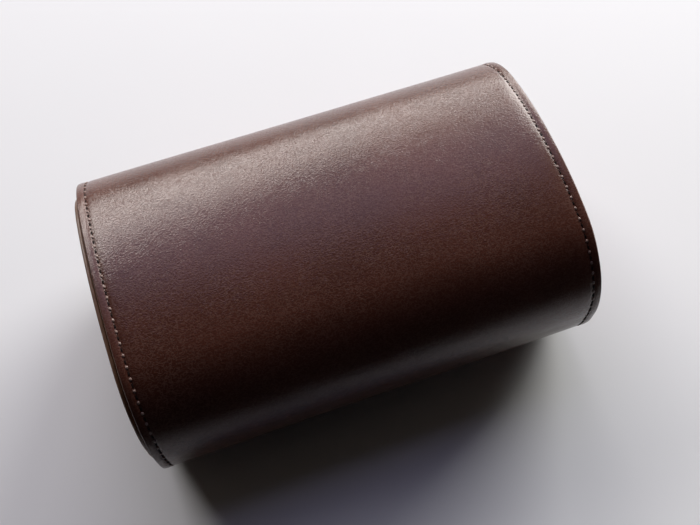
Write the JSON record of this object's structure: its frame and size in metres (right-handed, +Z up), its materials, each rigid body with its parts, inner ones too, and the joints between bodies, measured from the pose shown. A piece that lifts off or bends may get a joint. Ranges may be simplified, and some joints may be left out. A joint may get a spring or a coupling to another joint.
{
  "type": "watch storage case",
  "caption": "Loaf-shaped leather travel case for watches with stitched ends, a hinged crown lid, a magnetic closing flap, a divider and lift-out cushions.",
  "frame": {"origin": "centre of the flat base, on the table", "axes": "+X along the case, -Y the front with the closing flap, +Y the back with the lid hinge, +Z up"},
  "size_m": [0.144, 0.094, 0.0636],
  "materials": {
    "brown_leather": "semi-gloss grained leather with painted edges",
    "board": "grey bookbinding board",
    "suede": "soft sand-coloured microsuede",
    "foam": "open-cell foam",
    "steel": "plain steel",
    "plated_magnet": "nickel plate"
  },
  "bodies": {
    "case_body": {"trough_leather": "brown_leather", "trough_board": "board", "trough_lining": "suede", "front_keepers": "steel", "left_cheek_cover": "brown_leather", "left_cheek_board": "board", "left_cheek_lining": "suede", "right_cheek_cover": "brown_leather", "right_cheek_board": "board", "right_cheek_lining": "suede", "divider_board": "board", "divider_cover": "suede"},
    "lid": {"lid_leather": "brown_leather", "lid_board": "board", "lid_lining": "suede"},
    "closing_flap": {"flap_leather": "brown_leather", "flap_board": "board", "flap_lining": "suede", "flap_magnets": "plated_magnet"},
    "left_cushion": {"left_cushion_cover": "suede", "left_cushion_foam": "foam"},
    "right_cushion": {"right_cushion_cover": "suede", "right_cushion_foam": "foam"}
  },
  "joints": [
    {"name": "lid_hinge", "type": "hinge", "parent": "case_body", "child": "lid", "pos_m": [0, 0.0472, 0.03197], "axis": [-1, 0, 0], "range_deg": [0, 165]},
    {"name": "flap_fold", "type": "hinge", "parent": "lid", "child": "closing_flap", "pos_m": [0, -0.03865, 0.05262], "axis": [-1, 0, 0], "range_deg": [0, 90]},
    {"name": "left_cushion_lift", "type": "slide", "parent": "case_body", "child": "left_cushion", "axis": [0, 0, 1], "range_m": [0, 0.016]},
    {"name": "right_cushion_lift", "type": "slide", "parent": "case_body", "child": "right_cushion", "axis": [0, 0, 1], "range_m": [0, 0.016]}
  ]
}
